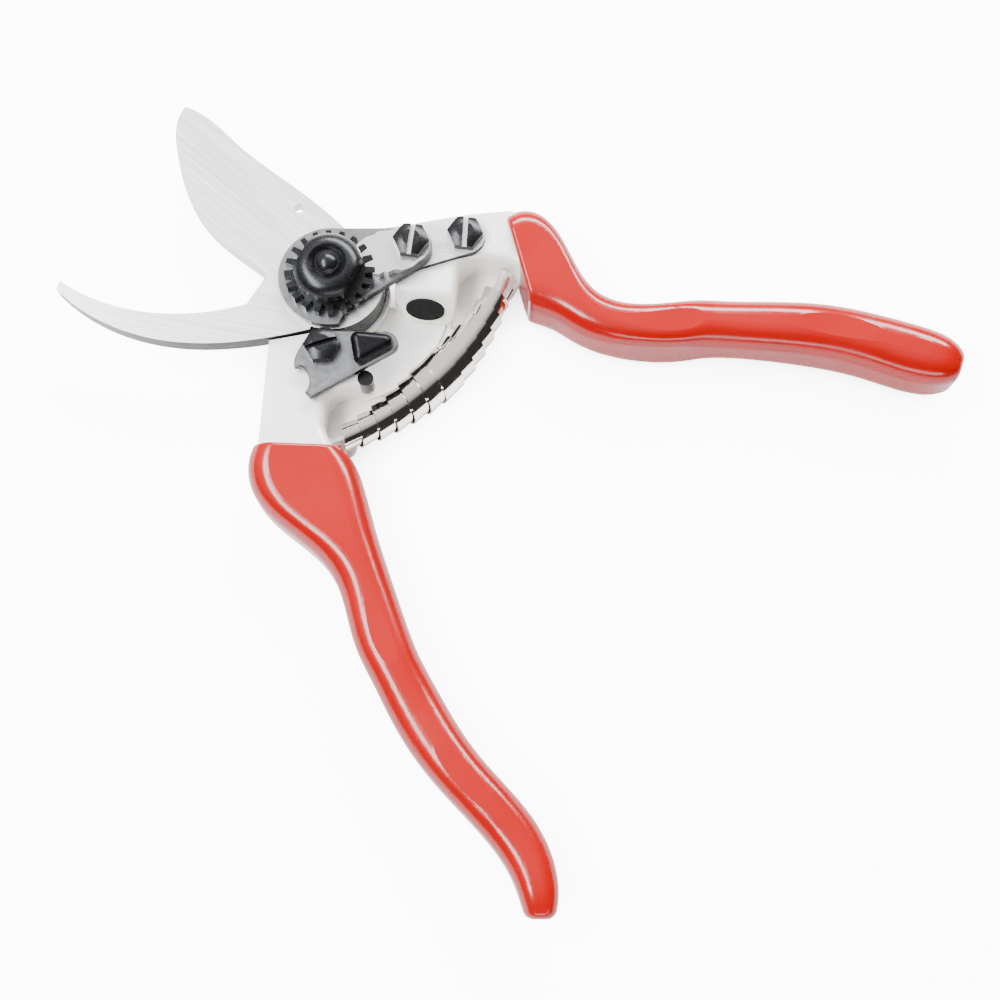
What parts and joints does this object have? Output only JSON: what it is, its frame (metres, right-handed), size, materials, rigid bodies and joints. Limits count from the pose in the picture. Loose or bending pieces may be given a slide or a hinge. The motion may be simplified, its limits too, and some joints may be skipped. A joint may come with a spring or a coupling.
{
  "type": "pruning shears",
  "caption": "Bypass pruning shears, open: curved cutting blade, hooked counter blade, toothed pivot nut, volute spring, thumb catch and two coated handles.",
  "frame": {"origin": "on the pivot axis, at the flat underside of the pivot bolt's head, which is the surface the shears lie on", "axes": "+Z along the pivot axis towards the nut; +X along the fixed handle towards its butt; the hook blade points to -X; the blades open by turning the swinging side about Z"},
  "size_m": [0.2082, 0.1777, 0.0263],
  "materials": {
    "cast_aluminium": "satin casting",
    "red_coat": "glossy dipped plastic",
    "bright_steel": "ground, lines along the hook",
    "blade_steel": "ground and polished",
    "black_steel": "black oxide, satin",
    "polished_steel": "bright plated",
    "spring_steel": "bright nickel",
    "black_rubber": "matt",
    "bushing_bronze": "plain"
  },
  "bodies": {
    "fixed_side": {"fixed_handle": "cast_aluminium", "fixed_grip": "red_coat", "hook_blade": "bright_steel", "lock_plate": "black_steel", "toothed_segment": "polished_steel", "pivot_nut": "black_steel", "pivot_bolt": "black_steel", "shock_absorber": "black_rubber", "upper_spring_stud": "spring_steel", "segment_screw": "black_steel", "anvil_screw": "black_steel", "volute_spring": "spring_steel"},
    "swing_side": {"swing_handle": "cast_aluminium", "swing_grip": "red_coat", "cutting_blade": "blade_steel", "blade_screw": "black_steel", "pivot_bushing": "bushing_bronze", "stop_pin": "black_steel", "lower_spring_stud": "spring_steel", "catch_screw": "black_steel", "catch_washer": "spring_steel"},
    "catch": {"thumb_catch": "black_steel"}
  },
  "joints": [
    {"name": "pivot", "type": "hinge", "parent": "fixed_side", "child": "swing_side", "pos_m": [0, 0, 0.0095], "axis": [0, 0, 1], "range_deg": [0, 50], "stiffness_Nm_per_rad": 2, "springref_deg": -14.32, "deforming": ["volute_spring"]},
    {"name": "catch_turn", "type": "hinge", "parent": "swing_side", "child": "catch", "pos_m": [0.0006, -0.0173, 0.0163], "axis": [0, 0, 1], "range_deg": [-20, 0]}
  ]
}
